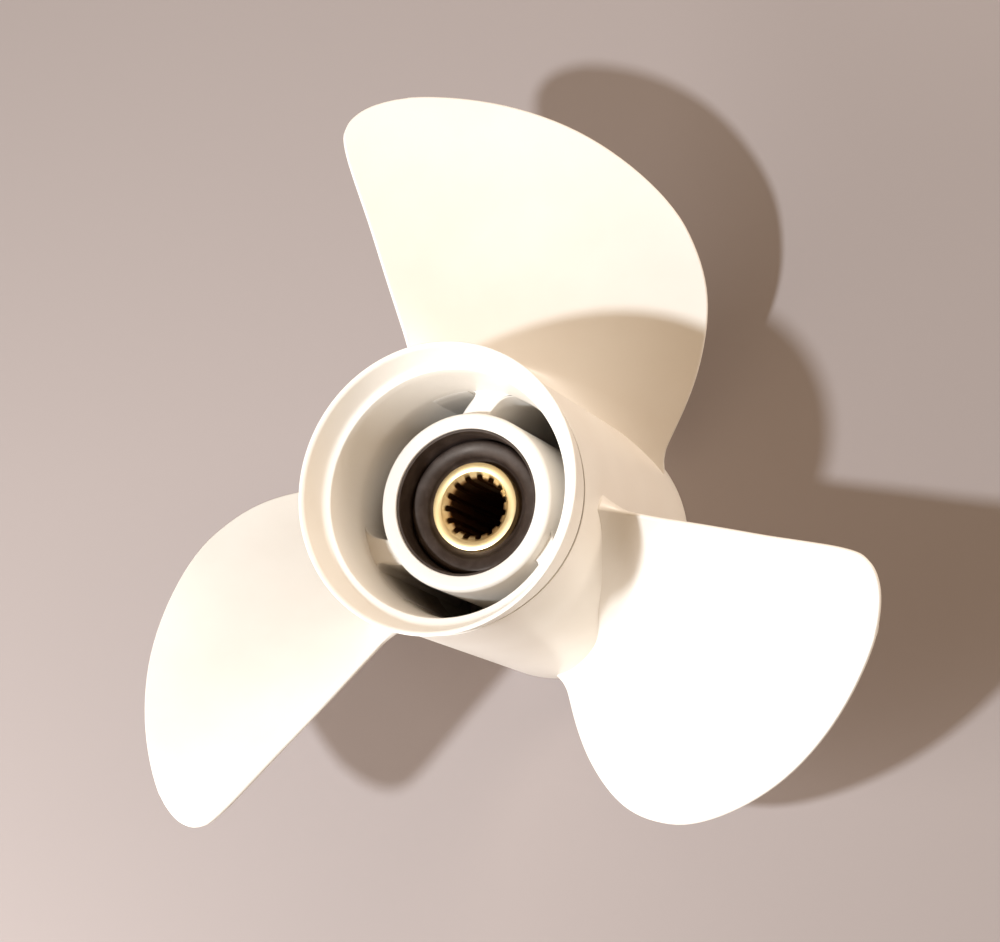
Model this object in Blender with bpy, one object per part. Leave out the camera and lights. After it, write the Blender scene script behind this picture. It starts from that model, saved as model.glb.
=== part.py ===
"""Three-blade outboard boat propeller whose exhaust leaves through its hub.

Frame: the origin is on the shaft axis, in the plane of the hub's forward face.
+Z points aft, so the part stands on its forward face. Blade 1 points along +Y.
Every length is in metres and every angle in degrees.
"""
import math

import bmesh
import bpy
import numpy as np
from mathutils import Vector

# Running gap between neighbouring solids
GAP = 0.0003

# Hub barrel, the outer shell that carries the blades
HUB_LENGTH = 0.1380
BARREL_RADIUS_AFT = 0.0530
BARREL_RADIUS_FORWARD = 0.0524
BARREL_EDGE = 0.0008

# Bore of the hub, which narrows from both ends to a waist level with the ribs
BORE_RADIUS_AFT = 0.0465
BORE_RADIUS_WAIST = 0.0438
BORE_RADIUS_FORWARD = 0.0470
BORE_WAIST_DEPTH = 0.0350

# Aft ring, the band round the exhaust outlet, conical inside above a narrow shoulder
RING_HEIGHT = 0.0129
RING_RADIUS_AFT = 0.0548
RING_RADIUS_FORWARD = 0.0532
RING_EDGE = 0.0006
RING_LIP_RADIUS = 0.0528
RING_LIP_ROUND = 0.0018
RING_SHOULDER_RADIUS = 0.0491
RING_SHOULDER_DEPTH = 0.0104

# Inner hub, the tube that holds the bush
TUBE_RADIUS = 0.0341
TUBE_BORE = 0.0281
TUBE_AFT_DEPTH = 0.0292
TUBE_FORWARD = 0.0080
TUBE_EDGE = 0.0006

# Ribs between the tube and the barrel
RIB_COUNT = 3
RIB_TUBE_ANGLE = 88.5
RIB_SWEEP = -10.5
RIB_WIDTH_MIDDLE = 0.0112
RIB_WIDTH_ENDS = 0.0150
RIB_AFT_DEPTH = 0.0345
RIB_FORWARD = 0.0140

# Rubber bush, pressed between the tube and the sleeve, with a thin lining up the tube's bore
BUSH_FORWARD = 0.0140
BUSH_CREST_DEPTH = 0.0385
BUSH_LINING_DEPTH = 0.0312
BUSH_LINING_RADIUS = 0.0268
BUSH_SHOULDER_RADIUS = 0.0258
BUSH_SHOULDER_HEIGHT = 0.0080
BUSH_DISH = 0.0035
BUSH_ROUND_SHARE = 0.3

# Splined sleeve, which slides on the shaft
SLEEVE_RADIUS = 0.0169
SLEEVE_AFT_DEPTH = 0.0387
SLEEVE_FORWARD = 0.0100
SPLINE_TEETH = 15
SPLINE_MAJOR_RADIUS = 0.0127
SPLINE_MINOR_RADIUS = 0.0106
SPLINE_SPACE_SHARE = 0.50
SPLINE_FLANK_SHARE = 0.12
SLEEVE_CHAMFER = 0.0014

# Outline of blade 1 in (radius, angle): a curved leading edge, a round tip and a
# trailing edge that is a straight line passing the shaft axis at a short distance
BLADE_COUNT = 3
LEADING_EDGE = (
    (0.0500, 35.0), (0.0646, 38.5), (0.0920, 44.5), (0.1147, 50.8), (0.1298, 57.6),
    (0.1400, 64.5), (0.1522, 76.8), (0.1596, 87.5), (0.1644, 98.0))
BLADE_TIP = (0.1651, 102.8)
TRAILING_CORNER = ((0.1634, 106.9), (0.1584, 109.7))
TRAILING_LINE_RADII = (0.1484, 0.1150, 0.0820, 0.0500)
TRAILING_LINE_ANGLE = 107.5
TRAILING_LINE_OFFSET = 0.0092

# Aft face of blade 1: a screw surface through +Y at the reference radius, raked aft,
# whose pitch falls with the radius and grows towards the trailing edge
REFERENCE_RADIUS = 0.1000
REFERENCE_DEPTH = 0.0592
RAKE_SLOPE = 0.205
PITCH = 0.414
PITCH_FALL = 0.469
PITCH_GROWTH = 0.0102

# Blade section and root fillet
ROOT_THICKNESS = 0.0100
TIP_THICKNESS = 0.0030
EDGE_THICKNESS = 0.0024
TRAILING_ROOT_THICKNESS = 0.0070
TRAILING_ROOT_REACH = 0.0220
FILLET_REACH = 0.0090
FILLET_RISE = 0.0130
FORWARD_FILLET_SHARE = 0.55
LEADING_WRAP_SHARE = 0.45
LEADING_DROP = 0.2
TIP_FLAT = 0.0001

# Mesh fineness
ROUND_SEGMENTS = 72
BLADE_CHORD_STEPS = 16
BLADE_FILLET_STEPS = 4
BLADE_SPAN_STEPS = 13
TIP_CROWDING = 1.7
RIB_STEPS = 4

# Finishes: colour, roughness, metallic
CREAM_PAINT = ((0.82, 0.76, 0.68), 0.42, 0.0)
BLACK_RUBBER = ((0.045, 0.036, 0.032), 0.62, 0.0)
SLEEVE_BRASS = ((0.80, 0.55, 0.26), 0.35, 1.0)


def clear_scene():
    """Removes whatever objects the scene holds."""
    for old in list(bpy.data.objects):
        bpy.data.objects.remove(old, do_unlink=True)


def make_material(name, finish):
    """A plain Principled material from a colour, a roughness and a metallic value."""
    colour, roughness, metallic = finish
    material = bpy.data.materials.new(name)
    material.use_nodes = True
    shader = material.node_tree.nodes["Principled BSDF"]
    shader.inputs["Base Color"].default_value = (*colour, 1.0)
    shader.inputs["Roughness"].default_value = roughness
    shader.inputs["Metallic"].default_value = metallic
    return material


def add_piece(name, bm, finish):
    """Turns a bmesh into a named object, faces out, with a material of its own."""
    bmesh.ops.recalc_face_normals(bm, faces=bm.faces[:])
    if bm.calc_volume(signed=True) < 0.0:
        bmesh.ops.reverse_faces(bm, faces=bm.faces[:])
    mesh = bpy.data.meshes.new(name)
    bm.to_mesh(mesh)
    bm.free()
    mesh.shade_smooth()
    mesh.set_sharp_from_angle(angle=math.radians(35.0))
    mesh.materials.append(make_material(name + "_finish", finish))
    piece = bpy.data.objects.new(name, mesh)
    bpy.context.scene.collection.objects.link(piece)
    return piece


def polar(radius, degrees, z):
    """A point from its radius, angle and height."""
    angle = math.radians(degrees)
    return Vector((radius * math.cos(angle), radius * math.sin(angle), z))


def turned(profile, segments=ROUND_SEGMENTS):
    """Spins a closed profile of (radius, z) points once round the shaft axis."""
    bm = bmesh.new()
    verts = [bm.verts.new((radius, 0.0, z)) for radius, z in profile]
    edges = [bm.edges.new((verts[i - 1], verts[i])) for i in range(len(verts))]
    bmesh.ops.spin(
        bm, geom=verts + edges, cent=(0, 0, 0), axis=(0, 0, 1),
        angle=math.tau, steps=segments, use_merge=True)
    bmesh.ops.remove_doubles(bm, verts=bm.verts[:], dist=1e-6)
    return bm


def curved_slab(u_steps, v_steps, place):
    """A grid extruded into a slab; place(u, v, side) puts each of its corners."""
    bm = bmesh.new()
    bmesh.ops.create_grid(bm, x_segments=u_steps, y_segments=v_steps, size=0.5)
    near = bm.verts[:]
    extruded = bmesh.ops.extrude_face_region(bm, geom=bm.faces[:])
    far = [item for item in extruded["geom"] if isinstance(item, bmesh.types.BMVert)]
    for side, verts in ((0, near), (1, far)):
        for vert in verts:
            vert.co = place(vert.co.x + 0.5, vert.co.y + 0.5, side)
    return bm


def barrel_radius(z):
    """Outside radius of the slightly tapered barrel at a height."""
    share = z / (HUB_LENGTH - RING_HEIGHT)
    return BARREL_RADIUS_FORWARD + share * (BARREL_RADIUS_AFT - BARREL_RADIUS_FORWARD)


def bore_radius(z):
    """Radius of the hub's bore at a height."""
    shoulder = HUB_LENGTH - RING_SHOULDER_DEPTH
    waist = HUB_LENGTH - BORE_WAIST_DEPTH
    if z > waist:
        share = (z - waist) / (shoulder - waist)
        return BORE_RADIUS_WAIST + share * (BORE_RADIUS_AFT - BORE_RADIUS_WAIST)
    return BORE_RADIUS_FORWARD + z / waist * (BORE_RADIUS_WAIST - BORE_RADIUS_FORWARD)


def make_barrel():
    """The open tube of the hub, slightly tapered outside and waisted inside."""
    top = HUB_LENGTH - RING_HEIGHT - GAP
    waist = HUB_LENGTH - BORE_WAIST_DEPTH
    return turned([
        (bore_radius(0.0), 0.0),
        (BARREL_RADIUS_FORWARD - BARREL_EDGE, 0.0),
        (BARREL_RADIUS_FORWARD, BARREL_EDGE),
        (barrel_radius(top), top),
        (bore_radius(top), top),
        (bore_radius(waist), waist),
    ])


def make_aft_ring():
    """The band at the outlet: a rounded lip, a conical mouth and a narrow shoulder."""
    bottom = HUB_LENGTH - RING_HEIGHT
    shoulder = HUB_LENGTH - RING_SHOULDER_DEPTH
    lip = []
    for degrees in (90.0, 120.0, 150.0, 180.0):
        angle = math.radians(degrees)
        lip.append((
            RING_LIP_RADIUS + RING_LIP_ROUND * (1.0 + math.cos(angle)),
            HUB_LENGTH - RING_LIP_ROUND * (1.0 - math.sin(angle))))
    return turned([
        (bore_radius(bottom), bottom),
        (RING_RADIUS_FORWARD - RING_EDGE, bottom),
        (RING_RADIUS_FORWARD, bottom + RING_EDGE),
        (RING_RADIUS_AFT, HUB_LENGTH - 0.5 * RING_EDGE),
        (RING_RADIUS_AFT - 0.5 * RING_EDGE, HUB_LENGTH),
        *lip,
        (RING_SHOULDER_RADIUS, shoulder),
        (BORE_RADIUS_AFT, shoulder),
    ])


def make_inner_hub():
    """The tube in the middle, which stops short of both ends of the barrel."""
    top = HUB_LENGTH - TUBE_AFT_DEPTH
    return turned([
        (TUBE_BORE, TUBE_FORWARD),
        (TUBE_RADIUS, TUBE_FORWARD),
        (TUBE_RADIUS, top - TUBE_EDGE),
        (TUBE_RADIUS - TUBE_EDGE, top),
        (TUBE_BORE, top),
    ])


def make_rib(index):
    """One web from the tube to the barrel, swept sideways and waisted in plan."""
    start = RIB_TUBE_ANGLE + index * 360.0 / RIB_COUNT
    inner = TUBE_RADIUS + GAP

    def place(u, v, side):
        z = RIB_FORWARD if side == 0 else HUB_LENGTH - RIB_AFT_DEPTH
        outer = bore_radius(min(z, HUB_LENGTH - BORE_WAIST_DEPTH)) - GAP
        radius = inner + (outer - inner) * v
        flare = (2.0 * v - 1.0) ** 2
        width = RIB_WIDTH_MIDDLE + (RIB_WIDTH_ENDS - RIB_WIDTH_MIDDLE) * flare
        degrees = start + RIB_SWEEP * v + math.degrees((u - 0.5) * width / radius)
        return polar(radius, degrees, z)

    return curved_slab(RIB_STEPS, RIB_STEPS, place)


def make_bush():
    """The rubber bush, with a round raised shoulder dished towards the sleeve."""
    outer = TUBE_BORE - GAP
    inner = SLEEVE_RADIUS + GAP
    crest = HUB_LENGTH - BUSH_CREST_DEPTH
    seat = crest - BUSH_SHOULDER_HEIGHT
    round_radius = BUSH_ROUND_SHARE * (BUSH_SHOULDER_RADIUS - inner)
    crest_profile = []
    for degrees in (0.0, 30.0, 60.0, 90.0, 120.0):
        angle = math.radians(degrees)
        crest_profile.append((
            BUSH_SHOULDER_RADIUS - round_radius + round_radius * math.cos(angle),
            crest - round_radius + round_radius * math.sin(angle)))
    return turned([
        (inner, BUSH_FORWARD),
        (outer, BUSH_FORWARD),
        (outer, HUB_LENGTH - BUSH_LINING_DEPTH),
        (BUSH_LINING_RADIUS, HUB_LENGTH - BUSH_LINING_DEPTH),
        (BUSH_LINING_RADIUS, seat),
        (BUSH_SHOULDER_RADIUS, seat),
        *crest_profile,
        (inner, crest - BUSH_DISH),
    ])


def spline_radius(share):
    """Radius of the splined bore at a share of one tooth pitch, with the space in its middle."""
    wide = 0.5 * (SPLINE_SPACE_SHARE + SPLINE_FLANK_SHARE)
    up_the_flank = min(max((wide - abs(share - 0.5)) / SPLINE_FLANK_SHARE, 0.0), 1.0)
    return SPLINE_MINOR_RADIUS + up_the_flank * (SPLINE_MAJOR_RADIUS - SPLINE_MINOR_RADIUS)


def make_sleeve():
    """The brass sleeve: round outside, with straight splines cut through its bore."""
    top = HUB_LENGTH - SLEEVE_AFT_DEPTH
    wide = 0.5 * (SPLINE_SPACE_SHARE + SPLINE_FLANK_SHARE)
    narrow = 0.5 * (SPLINE_SPACE_SHARE - SPLINE_FLANK_SHARE)
    shares = (0.0, 0.5 - wide, 0.5 - narrow, 0.5, 0.5 + narrow, 0.5 + wide)
    bm = bmesh.new()

    def ring(radius_at, z):
        return [
            bm.verts.new(polar(radius_at(share), 360.0 * (tooth + share) / SPLINE_TEETH, z))
            for tooth in range(SPLINE_TEETH) for share in shares]

    def outside(share):
        return SLEEVE_RADIUS

    def mouth(share):
        return SPLINE_MAJOR_RADIUS + SLEEVE_CHAMFER

    rings = [
        ring(spline_radius, SLEEVE_FORWARD),
        ring(outside, SLEEVE_FORWARD),
        ring(outside, top),
        ring(mouth, top),
        ring(spline_radius, top - SLEEVE_CHAMFER),
    ]
    for i, ring_after in enumerate(rings):
        ring_before = rings[i - 1]
        for j in range(len(ring_after)):
            bm.faces.new((ring_before[j - 1], ring_before[j], ring_after[j], ring_after[j - 1]))
    return bm


def smooth_curve(points, share):
    """A point at a share of the way along a smooth curve through the given points."""
    spans = len(points) - 1
    place = min(max(share, 0.0), 1.0) * spans
    span = min(int(place), spans - 1)
    t = place - span
    before = points[span - 1] if span > 0 else 2.0 * points[0] - points[1]
    after = points[span + 2] if span + 2 <= spans else 2.0 * points[spans] - points[spans - 1]
    start, end = points[span], points[span + 1]
    return 0.5 * (
        2.0 * start + (end - before) * t
        + (2.0 * before - 5.0 * start + 4.0 * end - after) * t * t
        + (3.0 * start - before - 3.0 * end + after) * t ** 3)


def blade_outline():
    """Outline of blade 1 as radii and angles, with the place of its greatest radius."""
    points = [Vector(point) for point in (*LEADING_EDGE, BLADE_TIP, *TRAILING_CORNER)]
    for radius in TRAILING_LINE_RADII:
        lead = math.degrees(math.asin(TRAILING_LINE_OFFSET / radius))
        points.append(Vector((radius, TRAILING_LINE_ANGLE + lead)))
    fineness = 40 * len(points)
    curve = np.array([smooth_curve(points, i / fineness) for i in range(fineness + 1)])
    return curve, int(np.argmax(curve[:, 0]))


def edge_angles(radius, curve, tip):
    """Angles of the leading and the trailing edge of blade 1 at a radius."""
    leading = np.interp(radius, curve[:tip + 1, 0], curve[:tip + 1, 1])
    trailing = np.interp(radius, curve[:tip - 1:-1, 0], curve[:tip - 1:-1, 1])
    return float(leading), float(trailing)


def blade_height(radius, degrees):
    """Height of the aft face of blade 1."""
    out = radius - REFERENCE_RADIUS
    turn = math.radians(degrees - 90.0)
    slope = (PITCH - PITCH_FALL * out) / math.tau
    return HUB_LENGTH - REFERENCE_DEPTH + RAKE_SLOPE * out + slope * turn + PITCH_GROWTH * turn * turn


def blade_thickness(u, radius):
    """Thickness along the shaft at a share of the chord, which is blunt at the trailing root."""
    out = radius - BARREL_RADIUS_FORWARD
    span = BLADE_TIP[0] - BARREL_RADIUS_FORWARD
    middle = ROOT_THICKNESS + (TIP_THICKNESS - ROOT_THICKNESS) * (out / span) ** 0.8
    blunt = u * max(0.0, 1.0 - out / TRAILING_ROOT_REACH)
    edge = EDGE_THICKNESS + blunt * (TRAILING_ROOT_THICKNESS - EDGE_THICKNESS)
    arch = math.sqrt(max(0.0, 1.0 - (2.0 * u - 1.0) ** 2))
    return edge + (middle - edge) * arch


def blade_row(step):
    """Radius of one row of the blade and how far the root fillet thickens each face there."""
    root = BARREL_RADIUS_FORWARD + GAP
    if step <= BLADE_FILLET_STEPS:
        angle = 0.5 * math.pi * step / BLADE_FILLET_STEPS
        return root + FILLET_REACH * (1.0 - math.cos(angle)), FILLET_RISE * (1.0 - math.sin(angle))
    left = 1.0 - (step - BLADE_FILLET_STEPS) / BLADE_SPAN_STEPS
    tip = BLADE_TIP[0] - TIP_FLAT
    return tip - (tip - root - FILLET_REACH) * left ** TIP_CROWDING, 0.0


def make_blade(index, curve, tip):
    """One blade, in rows of equal radius from its filleted root on the barrel to its tip."""
    turn = index * 360.0 / BLADE_COUNT
    rows = BLADE_FILLET_STEPS + BLADE_SPAN_STEPS

    def place(u, v, side):
        radius, flare = blade_row(round(v * rows))
        leading, trailing = edge_angles(radius, curve, tip)
        chord_share = 0.5 - 0.5 * math.cos(math.pi * u)
        degrees = leading + (trailing - leading) * chord_share
        z = blade_height(radius, degrees)
        wrap = math.sin(0.5 * math.pi * min(1.0, chord_share / LEADING_WRAP_SHARE))
        if side == 0:
            z += flare * (wrap - LEADING_DROP * (1.0 - wrap))
        else:
            z -= blade_thickness(chord_share, radius) + FORWARD_FILLET_SHARE * flare
        lean = (barrel_radius(z) - BARREL_RADIUS_FORWARD) * (1.0 - v)
        return polar(radius + lean, degrees + turn, z)

    return curved_slab(BLADE_CHORD_STEPS, rows, place)


def main():
    clear_scene()
    add_piece("hub_barrel", make_barrel(), CREAM_PAINT)
    add_piece("aft_ring", make_aft_ring(), CREAM_PAINT)
    add_piece("inner_hub", make_inner_hub(), CREAM_PAINT)
    for index in range(RIB_COUNT):
        add_piece("rib_%d" % (index + 1), make_rib(index), CREAM_PAINT)
    add_piece("rubber_bush", make_bush(), BLACK_RUBBER)
    add_piece("spline_sleeve", make_sleeve(), SLEEVE_BRASS)
    curve, tip = blade_outline()
    for index in range(BLADE_COUNT):
        add_piece("blade_%d" % (index + 1), make_blade(index, curve, tip), CREAM_PAINT)


main()
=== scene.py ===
# %% [markdown]
# # The propeller of an outboard motor
#
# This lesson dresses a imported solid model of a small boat's propeller. The real one is a single
# aluminium casting: an open hub that the engine's exhaust leaves through, an inner tube held by three
# ribs, and three blades. It is painted cream. A black rubber bush is pressed into the inner tube, and
# a brass sleeve with splines sits in the rubber. The solid model fixes every size. What is made here
# is the surface: round fillets where the casting's walls meet, rounded edges, paint, rubber and brass.

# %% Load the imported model
import math

import bmesh
import bpy
import numpy as np
from mathutils import Matrix, Vector


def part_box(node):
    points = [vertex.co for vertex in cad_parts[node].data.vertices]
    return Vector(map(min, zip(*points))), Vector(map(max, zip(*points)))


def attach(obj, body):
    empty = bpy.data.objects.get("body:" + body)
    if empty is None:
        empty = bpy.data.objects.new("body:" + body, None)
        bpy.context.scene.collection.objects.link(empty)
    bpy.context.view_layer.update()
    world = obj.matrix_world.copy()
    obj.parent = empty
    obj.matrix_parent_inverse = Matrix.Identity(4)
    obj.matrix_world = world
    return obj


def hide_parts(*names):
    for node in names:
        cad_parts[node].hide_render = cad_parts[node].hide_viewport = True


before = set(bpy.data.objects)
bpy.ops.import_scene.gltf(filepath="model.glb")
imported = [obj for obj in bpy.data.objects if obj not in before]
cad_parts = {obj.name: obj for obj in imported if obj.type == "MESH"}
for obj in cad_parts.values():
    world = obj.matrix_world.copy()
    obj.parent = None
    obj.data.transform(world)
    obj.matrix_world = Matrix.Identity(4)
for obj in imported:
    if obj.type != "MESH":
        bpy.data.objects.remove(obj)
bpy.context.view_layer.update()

print("nodes:", ", ".join(sorted(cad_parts)))

# %% [markdown]
# ## Sizes that come from the solids
#
# The shaft runs along +Z, and the aft end of the hub, which faces the viewer, is on top. Each radius or
# height below, except the seam's radius, is read from the box of the solid that it belongs to, so the new
# surfaces follow the solids if those change.

# %% Read the driving sizes
MM = 0.001
aft_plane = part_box("aft_ring")[1].z
seam_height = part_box("aft_ring")[0].z
ring_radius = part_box("aft_ring")[1].x
tube_low, tube_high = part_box("inner_hub")
tube_radius = tube_high.x
bush_low, bush_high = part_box("rubber_bush")
sleeve_low, sleeve_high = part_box("spline_sleeve")
sleeve_radius = sleeve_high.x
seam_radius = 53.0 * MM
print("hub height", round(aft_plane / MM, 1), "ring radius", round(ring_radius / MM, 1),
      "tube radius", round(tube_radius / MM, 1), "mm")

# %% [markdown]
# ## Small tools for turned and curved pieces
#
# Most of the hub is turned work: a closed outline is drawn as radii and heights and spun once round
# the shaft. A box bent by code would need its points worked out by hand, and a lathe-like modifier
# would stay live, so the bmesh spin operator is the plain choice. A round corner in such an outline is
# a short arc of points.

# %% Outline arcs and the spin
def polar(radius, degrees, z):
    """A point from its radius, angle and height."""
    angle = math.radians(degrees)
    return Vector((radius * math.cos(angle), radius * math.sin(angle), z))


def arc(centre_radius, centre_z, size, start, end, steps=6, height=None):
    """Points along a round or oval corner of an outline, between two angles in degrees."""
    height = size if height is None else height
    points = []
    for i in range(steps + 1):
        angle = math.radians(start + (end - start) * i / steps)
        points.append((centre_radius + size * math.cos(angle), centre_z + height * math.sin(angle)))
    return points


def turned(outline, segments=240):
    """Spins a closed outline of (radius, z) points once round the shaft axis."""
    bm = bmesh.new()
    verts = [bm.verts.new((radius, 0.0, z)) for radius, z in outline]
    edges = [bm.edges.new((verts[i - 1], verts[i])) for i in range(len(verts))]
    bmesh.ops.spin(
        bm, geom=verts + edges, cent=(0, 0, 0), axis=(0, 0, 1),
        angle=math.tau, steps=segments, use_merge=True)
    bmesh.ops.remove_doubles(bm, verts=bm.verts[:], dist=1e-7)
    return bm


# %% [markdown]
# A blade or a rib is a curved slab. It starts as a flat grid, which is extruded into a thin box, and
# each of its corners is then carried to its place by a small function of three numbers: how far along,
# how far across, and how far from the near side to the far one. Where the slab's rim is to be round,
# the short edges of the rim are cut first, and the cuts are pushed outwards afterwards.

# %% The curved slab
def slab(u_steps, v_steps, place, rim_cuts=0, rim_bulge=0.0):
    """A grid extruded into a slab; place(u, v, side) carries each of its corners."""
    bm = bmesh.new()
    bmesh.ops.create_grid(bm, x_segments=u_steps, y_segments=v_steps, size=0.5)
    extruded = bmesh.ops.extrude_face_region(bm, geom=bm.faces[:])
    far = [item for item in extruded["geom"] if isinstance(item, bmesh.types.BMVert)]
    bmesh.ops.translate(bm, verts=far, vec=(0.0, 0.0, 1.0))
    if rim_cuts:
        rungs = [edge for edge in bm.edges if abs(edge.verts[0].co.z - edge.verts[1].co.z) > 0.5]
        bmesh.ops.subdivide_edges(bm, edges=rungs, cuts=rim_cuts, use_grid_fill=True)
    sides = {vert: vert.co.z for vert in bm.verts}
    for vert, side in sides.items():
        vert.co = place(vert.co.x + 0.5, vert.co.y + 0.5, side)
    bmesh.ops.recalc_face_normals(bm, faces=bm.faces[:])
    if bm.calc_volume(signed=True) < 0.0:
        bmesh.ops.reverse_faces(bm, faces=bm.faces[:])
    bm.normal_update()
    pushes = {
        vert: vert.normal * rim_bulge * math.sqrt(1.0 - (2.0 * ease(side) - 1.0) ** 2)
        for vert, side in sides.items() if 0.0 < side < 1.0}
    for vert, push in pushes.items():
        vert.co += push
    return bm


def ease(share):
    """Moves even steps from 0 to 1 towards both ends, as points on a half circle stand."""
    return 0.5 - 0.5 * math.cos(math.pi * share)


def smooth_step(low, high, value):
    """0 below low, 1 above high, and a soft rise between."""
    share = min(max((value - low) / (high - low), 0.0), 1.0)
    return share * share * (3.0 - 2.0 * share)


# %% [markdown]
# Every finished piece goes through the same last steps. Its faces are turned outwards, edges sharper than a
# limit stay crisp under smooth shading, it is parented to the body that it moves with, and the imported
# solids that it stands for are hidden.

# %% Finish a piece
def finish_piece(bm, name, material, nodes=(), sharp_degrees=40.0, painted_shade_and_grime=None):
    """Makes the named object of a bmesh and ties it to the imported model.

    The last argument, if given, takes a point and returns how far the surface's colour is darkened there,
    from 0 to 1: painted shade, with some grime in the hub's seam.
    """
    bmesh.ops.recalc_face_normals(bm, faces=bm.faces[:])
    if bm.calc_volume(signed=True) < 0.0:
        bmesh.ops.reverse_faces(bm, faces=bm.faces[:])
    mesh = bpy.data.meshes.new(name)
    bm.to_mesh(mesh)
    bm.free()
    mesh.shade_smooth()
    mesh.set_sharp_from_angle(angle=math.radians(sharp_degrees))
    # The stored value is painted shade, with some grime in the hub's seam, and the materials darken by it.
    if painted_shade_and_grime:
        layer = mesh.attributes.new("painted_shade_and_grime", "FLOAT", "POINT")
        layer.data.foreach_set("value", [painted_shade_and_grime(vert.co) for vert in mesh.vertices])
    mesh.materials.append(material)
    piece = bpy.data.objects.new(name, mesh)
    bpy.context.scene.collection.objects.link(piece)
    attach(piece, "root")
    if nodes:
        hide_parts(*nodes)
    print(name, "has", len(mesh.polygons), "faces")
    return piece


# %% [markdown]
# ## Writing materials as sums
#
# A material's pattern is a chain of nodes. Wired by hand, it reads as a list of links. Wrapped in a
# small class whose plus, minus and times make the Math nodes, the same chain reads as the sum that it
# is.

# %% A socket that can be added and multiplied
class Wire:
    """A number that varies over a surface, with arithmetic that adds Math nodes."""

    def __init__(self, tree, socket):
        self.tree = tree
        self.socket = socket

    def _math(self, operation, first, second):
        node = self.tree.nodes.new("ShaderNodeMath")
        node.operation = operation
        for slot_index, value in enumerate((first, second)):
            if isinstance(value, Wire):
                self.tree.links.new(value.socket, node.inputs[slot_index])
            else:
                node.inputs[slot_index].default_value = value
        return Wire(self.tree, node.outputs[0])

    def __add__(self, other):
        return self._math("ADD", self, other)

    def __sub__(self, other):
        return self._math("SUBTRACT", self, other)

    def __rsub__(self, other):
        return self._math("SUBTRACT", other, self)

    def __mul__(self, other):
        return self._math("MULTIPLY", self, other)

    def __truediv__(self, other):
        return self._math("DIVIDE", self, other)

    def __gt__(self, other):
        return self._math("GREATER_THAN", self, other)

    __radd__ = __add__
    __rmul__ = __mul__


class Finish:
    """One material: its Principled shader and the nodes that feed it."""

    def __init__(self, name, **constants):
        self.material = bpy.data.materials.new(name)
        self.material.use_nodes = True
        self.tree = self.material.node_tree
        self.shader = self.tree.nodes["Principled BSDF"]
        for socket_name, value in constants.items():
            self.shader.inputs[socket_name.replace("_", " ")].default_value = value

    def node(self, kind, output=0, settings=None, **inputs):
        """Adds a node: its settings first, then its sockets' values or links."""
        made = self.tree.nodes.new(kind)
        for key, value in (settings or {}).items():
            setattr(made, key, value)
        for key, value in inputs.items():
            self.feed(made, key.replace("_", " "), value)
        return Wire(self.tree, made.outputs[output])

    def feed(self, node, socket_name, value):
        """Gives a socket a value, or a link if the value is a wire."""
        position = int(socket_name[3:]) if socket_name.startswith("at ") else socket_name
        if isinstance(value, Wire):
            self.tree.links.new(value.socket, node.inputs[position])
        else:
            node.inputs[position].default_value = value

    def set(self, **inputs):
        """Feeds the Principled shader."""
        for key, value in inputs.items():
            self.feed(self.shader, key.replace("_", " "), value)

    def place(self):
        """The point on the object, in metres."""
        return self.node("ShaderNodeTexCoord", output="Object")

    def noise(self, scale, detail=3.0, roughness=0.5):
        """A cloudy pattern between 0 and 1, its scale in lumps per metre."""
        return self.node(
            "ShaderNodeTexNoise", output="Fac", Vector=self.place(), Scale=scale,
            Detail=detail, Roughness=roughness)

    def ramp(self, value, low, high, to_low=0.0, to_high=1.0):
        """Stretches a part of a value's range."""
        return self.node(
            "ShaderNodeMapRange", output="Result", Value=value, From_Min=low, From_Max=high,
            To_Min=to_low, To_Max=to_high)

    def blend(self, share, first, second):
        """A colour between two others."""
        return self.node(
            "ShaderNodeMix", output=2, settings={"data_type": "RGBA"},
            at_0=share, at_6=first, at_7=second)

    def bump(self, height, distance, strength=1.0, normal=None):
        """A small relief whose height runs from 0 to 1 over a distance in metres."""
        extra = {"Normal": normal} if normal else {}
        return self.node(
            "ShaderNodeBump", output="Normal", Height=height, Distance=distance,
            Strength=strength, **extra)


# %% [markdown]
# ## Cream paint on cast aluminium
#
# The photographed paint is a warm off-white with a satin gloss. It isn't perfectly even: the casting under
# it is slightly wavy and the spray leaves a fine grain. A flat colour would look like plastic, so the
# colour is clouded by a few hundredths, the gloss varies in soft patches, and two reliefs carry the
# waviness and the grain. A value stored on the mesh's points darkens the paint and dulls its gloss. It is
# painted shade deep in the hub's passages and on the core pads, and painted shade with some grime in the
# seam's groove.

# %% Mix the paint
def make_paint():
    paint = Finish("cream_paint", Metallic=0.0, IOR=1.5)
    clouds = paint.noise(22.0, detail=4.0)
    clean = paint.blend(
        paint.ramp(clouds, 0.35, 0.65), (0.86, 0.80, 0.725, 1.0), (0.885, 0.835, 0.765, 1.0))
    # The stored value darkens the paint toward near black, in patches: painted shade in the deep passages
    # and on the core pads, and painted shade with some grime in the seam's groove.
    painted_shade_and_grime = paint.node("ShaderNodeAttribute", output="Fac", settings={"attribute_name": "painted_shade_and_grime"})
    patchy_shade_and_grime = painted_shade_and_grime * paint.ramp(paint.noise(140.0, detail=5.0), 0.25, 0.7, 0.8, 1.0)
    paint.set(Base_Color=paint.blend(patchy_shade_and_grime, clean, (0.05, 0.030, 0.018, 1.0)))
    patches = paint.noise(60.0, detail=5.0)
    grain = paint.noise(1400.0, detail=2.0)
    paint.set(Roughness=paint.ramp(patches, 0.3, 0.7, 0.30, 0.40) + grain * 0.04 + painted_shade_and_grime * 0.2)
    waves = paint.bump(paint.noise(45.0, detail=2.0), 0.6 * MM, 0.25)
    paint.set(Normal=paint.bump(grain, 0.03 * MM, 0.5, normal=waves))
    return paint.material


cream_paint = make_paint()
print("material:", cream_paint.name)
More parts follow.
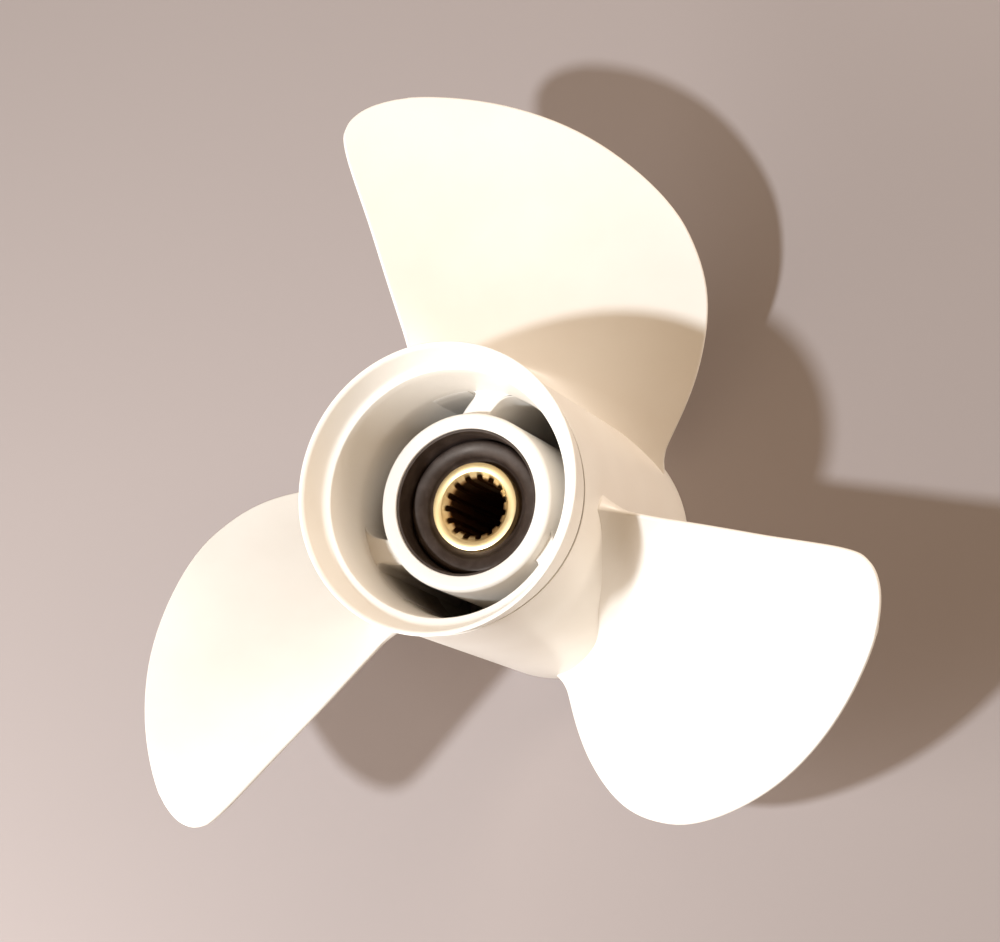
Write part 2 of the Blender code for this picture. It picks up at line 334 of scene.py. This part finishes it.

# %% [markdown]
# ## Rubber and brass
#
# The bush is moulded rubber, nearly black and slightly brown, with a dull sheen on its rounded shoulder and
# a bloom of pale dust. The sleeve is turned from brass, bright on its end face, where fine circles from the
# lathe still show. Down in the splines, below the chamfer, its colour is painted brown as painted shade.

# %% Mix the rubber and the brass
def make_rubber():
    rubber = Finish("black_rubber", Metallic=0.0, IOR=1.45, Specular_Tint=(1.0, 0.84, 0.72, 1.0))
    dust = rubber.noise(180.0, detail=6.0)
    rubber.set(Base_Color=rubber.blend(
        rubber.ramp(dust, 0.45, 0.8), (0.034, 0.022, 0.017, 1.0), (0.070, 0.050, 0.042, 1.0)))
    rubber.set(Roughness=rubber.ramp(rubber.noise(90.0), 0.3, 0.7, 0.40, 0.54))
    rubber.set(Normal=rubber.bump(rubber.noise(900.0, detail=3.0), 0.05 * MM, 0.4))
    return rubber.material


def make_brass():
    brass = Finish("sleeve_brass", Metallic=1.0)
    stains = brass.noise(120.0, detail=5.0)
    clean = brass.blend(
        brass.ramp(stains, 0.4, 0.75), (0.93, 0.75, 0.42, 1.0), (0.86, 0.60, 0.28, 1.0))
    # Painted shade browns the brass down in the splines, below the chamfer.
    bore_painted_shade = brass.node("ShaderNodeAttribute", output="Fac", settings={"attribute_name": "painted_shade_and_grime"})
    brass.set(Base_Color=brass.blend(bore_painted_shade, clean, (0.30, 0.15, 0.06, 1.0)))
    brass.set(Roughness=brass.ramp(stains, 0.3, 0.7, 0.34, 0.46))
    circles = brass.node(
        "ShaderNodeTexWave", output="Fac", settings={"wave_type": "RINGS", "rings_direction": "Z"},
        Vector=brass.place(), Scale=700.0, Distortion=0.6)
    brass.set(Normal=brass.bump(circles, 0.02 * MM, 0.4))
    return brass.material


black_rubber = make_rubber()
sleeve_brass = make_brass()
print("materials:", black_rubber.name, sleeve_brass.name)

# %% [markdown]
# ## The hub shell
#
# The shell is the barrel that carries the blades, with a flared band at the outlet. Seen from aft it
# has a white rounded lip, a conical mouth, a narrow bright shoulder and then the deep inner wall, which
# narrows to a waist level with the ribs, where the two cores of the mould met, and widens again. It is
# one turned outline. Outside, a thin dark seam runs round between the band and the barrel.

# %% Outline of the hub shell
LIP_WIDTH = 1.7 * MM
LIP_HEIGHT = 2.2 * MM
LIP_EDGE = 0.4 * MM
SHOULDER_RADIUS = 49.1 * MM
SHOULDER_DEPTH = 10.4 * MM
BORE_AFT = 46.5 * MM
BORE_WAIST = 43.8 * MM
BORE_FORWARD = 47.0 * MM
WAIST_DEPTH = 35.0 * MM
BARREL_TAPER = 0.6 * MM
SEAM_WIDTH = 1.2 * MM
SEAM_DEPTH = 1.6 * MM
SEAM_EDGE = 0.15 * MM
FLARE_STEPS = 10


def bore_radius(z):
    """Radius of the hub's inner wall at a height."""
    shoulder = aft_plane - SHOULDER_DEPTH
    waist = aft_plane - WAIST_DEPTH
    if z > waist:
        return BORE_WAIST + (z - waist) / (shoulder - waist) * (BORE_AFT - BORE_WAIST)
    return BORE_FORWARD + z / waist * (BORE_WAIST - BORE_FORWARD)


def shell_outline():
    top = aft_plane
    shoulder = top - SHOULDER_DEPTH
    seam_top = seam_height + SEAM_WIDTH
    flare = []
    for i in range(FLARE_STEPS + 1):
        share = i / FLARE_STEPS
        radius = seam_radius + (ring_radius - seam_radius) * share ** 1.3
        flare.append((radius, seam_top + SEAM_EDGE + (top - LIP_EDGE - seam_top - SEAM_EDGE) * share))
    bore = [(bore_radius(z), z) for z in np.linspace(shoulder - 1.0 * MM, top - WAIST_DEPTH, 8)]
    barrel = [
        (seam_radius - BARREL_TAPER * (1.0 - z / seam_height), z)
        for z in np.linspace(0.8 * MM, seam_height - SEAM_EDGE, 16)]
    return [
        (bore_radius(0.0) + 0.3 * MM, 0.0),
        *arc(seam_radius - BARREL_TAPER - 0.8 * MM, 0.8 * MM, 0.8 * MM, -90.0, -18.0, 4),
        *barrel,
        (seam_radius - SEAM_EDGE, seam_height),
        (seam_radius - SEAM_DEPTH, seam_height),
        (seam_radius - SEAM_DEPTH, seam_top),
        (seam_radius - SEAM_EDGE, seam_top),
        *flare,
        *arc(ring_radius - LIP_EDGE, top - LIP_EDGE, LIP_EDGE, 25.0, 90.0, 4),
        *arc(ring_radius - LIP_EDGE - 0.1 * MM, top - LIP_HEIGHT, LIP_WIDTH, 90.0, 172.0, 10, LIP_HEIGHT),
        (SHOULDER_RADIUS + 1.15 * MM, shoulder + 2.3 * MM),
        (SHOULDER_RADIUS + 0.7 * MM, shoulder + 1.3 * MM),
        (SHOULDER_RADIUS + 0.3 * MM, shoulder + 0.6 * MM),
        (SHOULDER_RADIUS - 0.3 * MM, shoulder + 0.2 * MM),
        (SHOULDER_RADIUS - 1.0 * MM, shoulder),
        *arc(BORE_AFT + 0.6 * MM, shoulder - 0.75 * MM, 0.6 * MM, 90.0, 174.0, 5),
        *bore,
        (bore_radius(0.3 * MM), 0.3 * MM),
    ]


print("outline of the hub shell has", len(shell_outline()), "points")

# %% [markdown]
# The seam isn't a plane circle. In the photograph it lies about 16 mm from the outlet beside a blade's
# trailing edge and about 11 mm from it a sixth of a turn on, so it wanders in three waves, one to a
# blade. The ring of points that a spin makes can be shifted up and down afterwards: most at the seam,
# and less and less towards the outlet and down the barrel.

# %% Turn the hub shell
SEAM_WAVE = 2.6 * MM
SEAM_WAVE_ANGLE = -15.0
WAVE_FADE = 40.0 * MM
# Depths over which painted shade darkens the passages' paint more and more.
PAINTED_SHADE_START = 34.0 * MM
PAINTED_SHADE_REACH = 45.0 * MM


def make_shell():
    bm = turned(shell_outline(), 288)
    for vert in bm.verts:
        radius = math.hypot(vert.co.x, vert.co.y)
        if radius < seam_radius - 2.0 * MM:
            continue
        if vert.co.z > seam_height:
            share = (aft_plane - vert.co.z) / (aft_plane - seam_height)
        else:
            share = 1.0 - (seam_height - vert.co.z) / WAVE_FADE
        angle = math.atan2(vert.co.y, vert.co.x) - math.radians(SEAM_WAVE_ANGLE)
        vert.co.z -= min(max(share, 0.0), 1.0) * SEAM_WAVE * math.cos(3.0 * angle)
    return bm


def deep_painted_shade(point):
    """Painted shade that deepens down the exhaust passages."""
    depth = (aft_plane - point.z - PAINTED_SHADE_START) / PAINTED_SHADE_REACH
    return 0.45 * min(max(depth, 0.0), 1.0)


def shell_painted_shade_and_grime(point):
    """Painted shade with some grime in the seam's groove, and painted shade that deepens down the bore."""
    radius = math.hypot(point.x, point.y)
    if radius < BORE_FORWARD + 0.5 * MM:
        return deep_painted_shade(point)
    # The groove's floor gets the full darkening: painted shade with some grime.
    from_floor = radius - (seam_radius - SEAM_DEPTH)
    in_groove = abs(from_floor) < 0.4 * SEAM_DEPTH and abs(point.z - seam_height) < 5.0 * MM
    return 1.0 if in_groove else 0.0


hub_shell = finish_piece(
    make_shell(), "hub_shell", cream_paint, ("hub_barrel", "aft_ring"), 30.0, shell_painted_shade_and_grime)

# %% [markdown]
# ## The inner tube
#
# A plain thick tube in the middle, set well back from the outlet, whose end face shows as a bright
# ring. Its edges are slightly rounded, as on any painted casting.

# %% Turn the inner tube
TUBE_BORE = 28.05 * MM
TUBE_ROUND = 0.5 * MM
TUBE_OUTER_ROUND = 1.8 * MM


def tube_outline():
    low, high = tube_low.z, tube_high.z
    return [
        (TUBE_BORE, low),
        (tube_radius, low),
        *arc(tube_radius - TUBE_OUTER_ROUND, high - TUBE_OUTER_ROUND, TUBE_OUTER_ROUND, 0.0, 90.0, 8),
        *arc(TUBE_BORE + TUBE_ROUND, high - TUBE_ROUND, TUBE_ROUND, 90.0, 180.0),
    ]


inner_tube = finish_piece(
    turned(tube_outline(), 192), "inner_tube", cream_paint, ("inner_hub",), painted_shade_and_grime=deep_painted_shade)

# %% [markdown]
# ## The ribs
#
# Three webs hold the tube in the barrel. Each leans, so that it meets the wall further clockwise than
# it leaves the tube, and its flat aft edge lies a little deeper than the tube's face. The corners
# between web and wall are rounded in the mould. The ends reach a little into both walls, which closes
# the joint.

# %% Shape the ribs
RIB_COUNT = 3
RIB_TUBE_ANGLE = 90.2
RIB_SWEEP = -10.6
RIB_WAIST = 11.2 * MM
RIB_WALL_FILLET = 3.5 * MM
RIB_TUBE_FILLET = 1.2 * MM
RIB_DEPTH = 35.6 * MM
RIB_EDGE = 0.6 * MM
RIB_EMBED = 0.8 * MM
RIB_FORWARD = 14.0 * MM


def fillet_gain(distance, size):
    """How far a round fillet stands out at a distance from its wall."""
    left = min(max(size - distance, 0.0), size)
    return size - math.sqrt(size * size - left * left)


def make_rib(index):
    start = RIB_TUBE_ANGLE + index * 360.0 / RIB_COUNT
    inner = tube_radius - RIB_EMBED
    outer = BORE_WAIST + RIB_EMBED

    def place(u, v, side):
        spread = ease(v)
        radius = inner + (outer - inner) * spread
        half = (0.5 * RIB_WAIST + fillet_gain(max(0.0, BORE_WAIST - radius), RIB_WALL_FILLET)
                + fillet_gain(max(0.0, radius - tube_radius), RIB_TUBE_FILLET))
        share = (radius - tube_radius) / (BORE_WAIST - tube_radius)
        degrees = start + RIB_SWEEP * share + math.degrees((2.0 * u - 1.0) * half / radius)
        z = aft_plane - RIB_DEPTH if side else RIB_FORWARD
        if not side:
            radius += (bore_radius(z) - BORE_WAIST) * spread
        return polar(radius, degrees, z)

    bm = slab(16, 24, place)
    aft_edges = [
        edge for edge in bm.edges
        if all(vert.co.z > aft_plane - RIB_DEPTH - 0.1 * MM for vert in edge.verts)
        and edge.calc_face_angle(0.0) > math.radians(60.0)]
    bmesh.ops.bevel(
        bm, geom=aft_edges, offset=RIB_EDGE, offset_type="OFFSET", segments=3, profile=0.5,
        affect="EDGES", material=-1)
    name = "rib_%d" % (index + 1)
    return finish_piece(bm, name + "_web", cream_paint, (name,), 50.0, deep_painted_shade)


ribs = [make_rib(index) for index in range(RIB_COUNT)]

# %% [markdown]
# Beside each rib, on its anticlockwise side, the photograph shows a slightly raised patch of the wall with
# one crisp edge, where two cores of the mould met unevenly. It is a thin curved pad that rises out of the
# wall at the waist and runs forward.

# %% Raise the core pads
PAD_ANGLES = (93.0, 112.4)
PAD_DEPTHS = (35.0 * MM, 95.0 * MM)
PAD_LIFT = 0.6 * MM
PAD_EDGE = 0.15 * MM
# A little painted shade over the whole pad, on top of the passages' painted shade deeper down.
PAD_PAINTED_SHADE = 0.2


def make_core_pad(index):
    def place(u, v, side):
        z = aft_plane - PAD_DEPTHS[0] - (PAD_DEPTHS[1] - PAD_DEPTHS[0]) * v
        lift = PAD_LIFT * (0.1 + 0.9 * smooth_step(0.0, 0.10, v))
        degrees = PAD_ANGLES[0] + (PAD_ANGLES[1] - PAD_ANGLES[0]) * u + index * 360.0 / RIB_COUNT
        return polar(bore_radius(z) + (-lift if side else PAD_LIFT), degrees, z)

    bm = slab(16, 24, place)
    crisp = [edge for edge in bm.edges if edge.calc_face_angle(0.0) > math.radians(60.0)]
    bmesh.ops.bevel(
        bm, geom=crisp, offset=PAD_EDGE, offset_type="OFFSET", segments=2, profile=0.5,
        affect="EDGES", material=-1)
    name = "core_pad_%d" % (index + 1)
    return finish_piece(
        bm, name, cream_paint, (), 50.0, lambda point: PAD_PAINTED_SHADE + deep_painted_shade(point))


core_pads = [make_core_pad(index) for index in range(RIB_COUNT)]

# %% [markdown]
# ## The blades
#
# A blade's aft face is a screw surface: as it turns about the shaft it climbs, by the pitch. The pitch
# here grows towards the trailing edge, and the whole blade leans aft. Its outline is a curve of radius
# and angle. Drawn in rows of equal radius, as propeller makers draw their sections, each row runs from
# the leading to the trailing edge, and the first rows form the round fillet on the barrel. A Boolean
# union and a remesh would round that joint too, but would blur the thin edges.

# %% The outline of blade 1
BLADE_COUNT = 3
LEADING_EDGE = (
    (50.0, 28.5), (53.5, 32.4), (57.2, 35.7), (64.6, 38.4), (92.0, 44.5), (114.7, 50.8), (129.8, 57.6),
    (140.0, 64.5), (152.2, 76.8), (159.6, 87.5), (164.4, 98.0))
BLADE_TIP = (165.1, 102.8)
TRAILING_CORNER = ((163.4, 106.9), (158.4, 109.7))
TRAILING_LINE_RADII = (148.4, 115.0, 82.0, 66.0, 50.0)
TRAILING_LINE_ANGLE = 107.5
TRAILING_LINE_OFFSET = 9.2
EDGE_BULGE = 0.7 * MM
EDGE_MARGIN = 0.05 * MM


def smooth_curve(points, share):
    """A point at a share of the way along a smooth curve through the given points."""
    spans = len(points) - 1
    place = min(max(share, 0.0), 1.0) * spans
    span = min(int(place), spans - 1)
    t = place - span
    before = points[span - 1] if span > 0 else 2.0 * points[0] - points[1]
    after = points[span + 2] if span + 2 <= spans else 2.0 * points[spans] - points[spans - 1]
    start, end = points[span], points[span + 1]
    return 0.5 * (
        2.0 * start + (end - before) * t
        + (2.0 * before - 5.0 * start + 4.0 * end - after) * t * t
        + (3.0 * start - before - 3.0 * end + after) * t ** 3)


def blade_outline():
    """Radii in metres and angles along the outline, and the index of its greatest radius.

    The outline is drawn a little inside the real one, because the round rim is added outside it.
    """
    points = [Vector(point) for point in (*LEADING_EDGE, BLADE_TIP, *TRAILING_CORNER)]
    for radius in TRAILING_LINE_RADII:
        lead = math.degrees(math.asin(TRAILING_LINE_OFFSET / radius))
        points.append(Vector((radius, TRAILING_LINE_ANGLE + lead)))
    fineness = 60 * len(points)
    curve = np.array([smooth_curve(points, i / fineness) for i in range(fineness + 1)])
    angle = np.radians(curve[:, 1])
    flat = np.stack([np.cos(angle), np.sin(angle)], axis=1) * curve[:, :1] * MM
    along = np.gradient(flat, axis=0)
    along /= np.linalg.norm(along, axis=1)[:, None]
    flat += (EDGE_BULGE + EDGE_MARGIN) * np.stack([-along[:, 1], along[:, 0]], axis=1)
    curve = np.stack([np.hypot(*flat.T), np.degrees(np.arctan2(flat[:, 1], flat[:, 0]))], axis=1)
    return curve, int(np.argmax(curve[:, 0]))


outline_curve, outline_tip = blade_outline()
tip_radius = float(outline_curve[outline_tip, 0])
print("blade tip radius", round(tip_radius / MM, 1), "mm")


def edge_angles(radius):
    """Angles of the leading and the trailing edge of blade 1 at a radius."""
    leading = np.interp(radius, outline_curve[:outline_tip + 1, 0], outline_curve[:outline_tip + 1, 1])
    trailing = np.interp(
        radius, outline_curve[:outline_tip - 1:-1, 0], outline_curve[:outline_tip - 1:-1, 1])
    return float(leading), float(trailing)


# %% [markdown]
# The height of the aft face and the thickness behind it are two short formulas. The thickness is
# measured square to the face, as callipers would, so the end of a section faces along its chord. The
# section is an arch, thick in the middle and thin at both edges.

# %% Height and thickness of a blade
REFERENCE_RADIUS = 100.0 * MM
REFERENCE_DEPTH = 59.2 * MM
RAKE_SLOPE = 0.205
PITCH = 0.414
PITCH_FALL = 0.469
PITCH_GROWTH = 0.0102
ROOT_THICKNESS = 7.0 * MM
TIP_THICKNESS = 2.8 * MM
EDGE_THICKNESS = 1.9 * MM
BARREL_FORWARD_RADIUS = seam_radius - BARREL_TAPER

def blade_height(radius, degrees):
    """Height of the aft face of blade 1 and the slope of its helix there, in degrees."""
    out = radius - REFERENCE_RADIUS
    turn = math.radians(degrees - 90.0)
    slope = (PITCH - PITCH_FALL * out) / math.tau
    height = aft_plane - REFERENCE_DEPTH + RAKE_SLOPE * out + slope * turn + PITCH_GROWTH * turn * turn
    return height, math.atan2(slope + 2.0 * PITCH_GROWTH * turn, radius)


def blade_thickness(chord_share, radius):
    """Thickness of the section at a share of its chord."""
    out = max(0.0, radius - BARREL_FORWARD_RADIUS)
    span = tip_radius - BARREL_FORWARD_RADIUS
    middle = ROOT_THICKNESS + (TIP_THICKNESS - ROOT_THICKNESS) * (out / span) ** 0.8
    arch = math.sqrt(max(0.0, 1.0 - (2.0 * chord_share - 1.0) ** 2))
    return EDGE_THICKNESS + (middle - EDGE_THICKNESS) * arch


# %% [markdown]
# The root fillet stands between the blade and the barrel on both faces, and meets the barrel in a faint
# line, as the photograph shows. On the aft face it is large from mid-chord on and dies away towards the
# leading edge. At the trailing edge it ends in a blunt wedge, wide on the barrel and gone 20 mm out. Its
# gain is added square to the section, like the thickness.

# %% Root fillets
AFT_FILLET = 8.7 * MM
AFT_AT_LEADING = 0.14
AFT_AT_TRAILING = 0.56
FORWARD_FILLET = 6.3 * MM
FORWARD_AT_LEADING = 0.30
FORWARD_AT_TRAILING = 0.10
TRAILING_FLARE = 3.4
FILLET_REACH = 10.0 * MM
FILLET_POWER = 1.7
ROOT_EMBED = 0.8 * MM
FILLET_ROWS = 14
SPAN_ROWS = 54
CHORD_STEPS = 56
RIM_CUTS = 4
TIP_FLAT = 0.05 * MM
TIP_CROWDING = 1.8


def root_fillets(chord_share, from_barrel):
    """Gains of the aft and the forward face at a share of the chord and a distance from the barrel."""
    fall = max(0.0, 1.0 - max(0.0, from_barrel) / FILLET_REACH) ** FILLET_POWER
    aft = AFT_AT_LEADING + (1.0 - AFT_AT_LEADING) * smooth_step(0.32, 0.66, chord_share)
    aft -= (1.0 - AFT_AT_TRAILING) * smooth_step(0.80, 1.0, chord_share)
    forward = FORWARD_AT_LEADING + (1.0 - FORWARD_AT_LEADING) * smooth_step(0.0, 0.4, chord_share)
    forward -= (1.0 - FORWARD_AT_TRAILING) * smooth_step(0.75, 1.0, chord_share)
    return AFT_FILLET * aft * fall, FORWARD_FILLET * forward * fall


def blade_row(step):
    """Radius of one row of the blade."""
    root = BARREL_FORWARD_RADIUS
    if step == 0:
        return root - ROOT_EMBED
    step -= 1
    if step <= FILLET_ROWS:
        return root + FILLET_REACH * (step / FILLET_ROWS) ** 1.3
    left = 1.0 - (step - FILLET_ROWS) / SPAN_ROWS
    tip = tip_radius - TIP_FLAT
    return tip - (tip - root - FILLET_REACH) * left ** TIP_CROWDING


# %% [markdown]
# The aft face's trailing edge is set back by what the thickness takes up, so that the far edge of the
# section's end follows the outline.

# %% Build the blades
def make_blade(index):
    turn = index * 360.0 / BLADE_COUNT
    rows = FILLET_ROWS + SPAN_ROWS + 1

    def place(u, v, side):
        radius = blade_row(round(v * rows))
        leading, trailing = edge_angles(radius)
        fall = max(0.0, 1.0 - max(0.0, radius - BARREL_FORWARD_RADIUS) / FILLET_REACH)
        trailing += TRAILING_FLARE * fall ** FILLET_POWER
        slope = blade_height(radius, trailing)[1]
        set_back = math.degrees(EDGE_THICKNESS * math.sin(slope) / radius)
        chord_share = ease(u)
        degrees = leading + (trailing - set_back - leading) * chord_share
        z, slope = blade_height(radius, degrees)
        aft_gain, forward_gain = root_fillets(chord_share, radius - BARREL_FORWARD_RADIUS)
        front = -aft_gain
        back = blade_thickness(chord_share, radius) + forward_gain
        inward = front + (back - front) * ease(side)
        degrees += math.degrees(inward * math.sin(slope) / radius)
        z -= inward * math.cos(slope)
        lean = BARREL_TAPER * z / seam_height * (1.0 - v)
        return polar(radius + lean, degrees + turn, z)

    bm = slab(CHORD_STEPS, rows, place, RIM_CUTS, EDGE_BULGE)
    name = "blade_%d" % (index + 1)
    return finish_piece(bm, name + "_skin", cream_paint, (name,), 50.0)


blades = [make_blade(index) for index in range(BLADE_COUNT)]
print("lowest point of a blade", round(min(vert.co.z for vert in blades[0].data.vertices) / MM, 2), "mm")

# %% [markdown]
# ## The rubber bush
#
# The bush fills the inner tube, and a thin skin of the same rubber lines the tube's bore almost up to
# its face. The bush's aft end rises in a rounded shoulder, is dished towards the sleeve, and leaves a
# deep dark groove between the shoulder and the lining.

# %% Turn the bush
CREST_DEPTH = 38.5 * MM
CREST_RADIUS = 24.4 * MM
CREST_OUTER = 25.8 * MM
CREST_INNER = 19.0 * MM
GROOVE_DEPTH = 8.0 * MM
LINING_RADIUS = 27.0 * MM
LINING_GAP = 0.9 * MM
BUSH_DISH = 4.0 * MM


def bush_outline():
    crest = aft_plane - CREST_DEPTH
    lining = tube_high.z - LINING_GAP
    inner = sleeve_radius - 0.4 * MM
    outer = TUBE_BORE + 0.3 * MM
    return [
        (inner, bush_low.z),
        (outer, bush_low.z),
        (outer, lining),
        *arc(LINING_RADIUS + 0.3 * MM, lining - 0.3 * MM, 0.3 * MM, 90.0, 180.0, 4),
        (LINING_RADIUS - 0.1 * MM, crest + 2.2 * MM),
        (LINING_RADIUS - 0.6 * MM, crest + 1.4 * MM),
        (LINING_RADIUS - 0.7 * MM, crest - GROOVE_DEPTH),
        (CREST_OUTER, crest - GROOVE_DEPTH),
        *arc(CREST_RADIUS, crest - 2.4 * MM, CREST_OUTER - CREST_RADIUS, 0.0, 90.0, 8, 2.4 * MM),
        *arc(CREST_RADIUS, crest - 3.4 * MM, CREST_RADIUS - CREST_INNER, 96.0, 168.0, 12, 3.4 * MM),
        (sleeve_radius + 1.2 * MM, crest - BUSH_DISH + 0.4 * MM),
        (sleeve_radius + 0.3 * MM, crest - BUSH_DISH),
        (inner, crest - BUSH_DISH),
    ]


bush = finish_piece(turned(bush_outline(), 144), "moulded_bush", black_rubber, ("rubber_bush",))

# %% [markdown]
# ## The splined sleeve
#
# Fifteen narrow round-bottomed grooves are broached through a brass tube, and its mouth is chamfered so
# that the shaft finds its way in. A circle of points is extruded down and up again into rings, and each
# ring's points are set to the radius that the splines have at their angle.

# %% Shape the sleeve
SPLINE_TEETH = 15
SPLINE_MAJOR = 12.4 * MM
SPLINE_MINOR = 10.6 * MM
GROOVE_SHARE = 0.50
MOUTH_RADIUS = 13.7 * MM
POINTS_PER_TOOTH = 24


def spline_radius(angle, minor=SPLINE_MINOR):
    """Radius of the splined bore at an angle, with rounded grooves."""
    share = (angle * SPLINE_TEETH / math.tau) % 1.0
    across = min(1.0, abs(share - 0.5) / (0.5 * GROOVE_SHARE))
    return minor + math.sqrt(1.0 - across ** 2.6) * (SPLINE_MAJOR - minor)


def sleeve_bore_painted_shade(point):
    """Painted shade that browns the bore below its chamfer."""
    if math.hypot(point.x, point.y) > MOUTH_RADIUS - 0.5 * MM:
        return 0.0
    return 0.94 * min(max((sleeve_high.z - 1.3 * MM - point.z) / (0.7 * MM), 0.0), 1.0)


def make_sleeve():
    low, high = sleeve_low.z, sleeve_high.z
    rings = [
        (spline_radius, low),
        (lambda angle: sleeve_radius - 0.3 * MM, low),
        (lambda angle: sleeve_radius, low + 0.3 * MM),
        (lambda angle: sleeve_radius, high - 0.35 * MM),
        (lambda angle: sleeve_radius - 0.1 * MM, high - 0.1 * MM),
        (lambda angle: sleeve_radius - 0.35 * MM, high),
        (lambda angle: MOUTH_RADIUS, high),
        (lambda angle: MOUTH_RADIUS - 0.25 * MM, high - 0.12 * MM),
        (lambda angle: SPLINE_MAJOR + 0.1 * MM, high - 1.0 * MM),
        (lambda angle: spline_radius(angle, 11.9 * MM), high - 1.4 * MM),
        (lambda angle: spline_radius(angle, 11.2 * MM), high - 1.9 * MM),
        (lambda angle: spline_radius(angle, 10.8 * MM), high - 2.4 * MM),
        (spline_radius, high - 3.1 * MM),
    ]
    bm = bmesh.new()
    count = SPLINE_TEETH * POINTS_PER_TOOTH
    start = bmesh.ops.create_circle(bm, segments=count, radius=1.0)["verts"]
    first_edges = bm.edges[:]
    edges = first_edges

    def settle(verts, radius_at, z):
        for vert in verts:
            angle = math.atan2(vert.co.y, vert.co.x)
            vert.co = Vector((math.cos(angle), math.sin(angle), 0.0)) * radius_at(angle) + Vector((0, 0, z))

    settle(start, *rings[0])
    for radius_at, z in rings[1:]:
        made = bmesh.ops.extrude_edge_only(bm, edges=edges)["geom"]
        verts = [item for item in made if isinstance(item, bmesh.types.BMVert)]
        edges = [item for item in made if isinstance(item, bmesh.types.BMEdge)
                 and item.verts[0] in verts and item.verts[1] in verts]
        settle(verts, radius_at, z)
    bmesh.ops.bridge_loops(bm, edges=first_edges + edges)
    return finish_piece(
        bm, "broached_sleeve", sleeve_brass, ("spline_sleeve",), 35.0, sleeve_bore_painted_shade)


sleeve = make_sleeve()

# %% [markdown]
# ## Floor, light and camera
#
# The photograph has its main lamp at the lower left, whose direction follows from the shadow that the
# hub's rim throws on the top blade. It is slightly cool, and a weak warm light comes from all round, so
# the shaded sides of the paint look browner than the lit ones. A soft low lamp at the left whitens the
# lower-left blade, and another at the right lifts the barrel's side. The camera's place was
# found by fitting the hub's circles and the blades' edges to the photograph, so it is a measured
# viewpoint and not a guess.

# %% Lay the floor
FLOOR_SIZE = 6.0


def make_floor():
    finish = Finish("pale_floor", Base_Color=(0.335, 0.285, 0.27, 1.0), Roughness=0.9)
    bm = bmesh.new()
    bmesh.ops.create_grid(bm, x_segments=1, y_segments=1, size=0.5 * FLOOR_SIZE)
    mesh = bpy.data.meshes.new("floor")
    bm.to_mesh(mesh)
    bm.free()
    mesh.materials.append(finish.material)
    floor = bpy.data.objects.new("floor", mesh)
    bpy.context.scene.collection.objects.link(floor)
    return floor


make_floor()

# %% Set the lights
SHADED_POINT = (0.04, 0.09, 0.10)
SURROUND = (1.0, 0.74, 0.48, 1.0)
SURROUND_STRENGTH = 0.40


def aim(thing, target, roll_degrees=0.0):
    """Turns a camera or a lamp, which look down their own -Z, towards a point."""
    direction = Vector(target) - thing.location
    turn = direction.to_track_quat("-Z", "Y").to_matrix().to_4x4()
    roll = Matrix.Rotation(math.radians(roll_degrees), 4, "Z")
    thing.matrix_world = Matrix.Translation(thing.location) @ turn @ roll


def add_lamp(name, azimuth, elevation, distance, size, power, colour, target=(0.0, 0.0, 0.08)):
    """A round soft lamp that shines on a target from a direction given in degrees."""
    data = bpy.data.lights.new(name, "AREA")
    data.shape = "DISK"
    data.size = size
    data.energy = power
    data.color = colour
    lamp = bpy.data.objects.new(name, data)
    bpy.context.scene.collection.objects.link(lamp)
    rise = math.radians(elevation)
    lamp.location = Vector(target) + distance * polar(math.cos(rise), azimuth, math.sin(rise))
    aim(lamp, target)
    print(name, "at", [round(value, 3) for value in lamp.location])


add_lamp("key_lamp", -136.0, 62.0, 1.6, 0.10, 25.0, (0.84, 0.92, 1.0), SHADED_POINT)
add_lamp("side_lamp", -142.0, 26.0, 0.62, 0.4, 3.0, (1.0, 0.98, 0.96))
add_lamp("fill_lamp", 40.0, 12.0, 1.5, 0.5, 14.0, (1.0, 0.90, 0.80))

world = bpy.data.worlds.new("surround")
bpy.context.scene.world = world
world.use_nodes = True
world.node_tree.nodes["Background"].inputs["Color"].default_value = SURROUND
world.node_tree.nodes["Background"].inputs["Strength"].default_value = SURROUND_STRENGTH
bpy.context.scene.view_settings.view_transform = "Standard"

# %% Place the camera
CAMERA_PLACE = (0.4307, -0.2114, 1.1561)
CAMERA_AIM = (0.0015, 0.0176, 0.0780)
CAMERA_ROLL = -62.54
CAMERA_LENS = 111.19

camera_data = bpy.data.cameras.new("viewpoint")
camera_data.lens = CAMERA_LENS
camera_data.sensor_width = 36.0
camera = bpy.data.objects.new("viewpoint", camera_data)
bpy.context.scene.collection.objects.link(camera)
camera.location = CAMERA_PLACE
aim(camera, CAMERA_AIM, CAMERA_ROLL)
bpy.context.scene.camera = camera
print("camera distance from the hub", round((camera.location - Vector(CAMERA_AIM)).length, 3), "m")
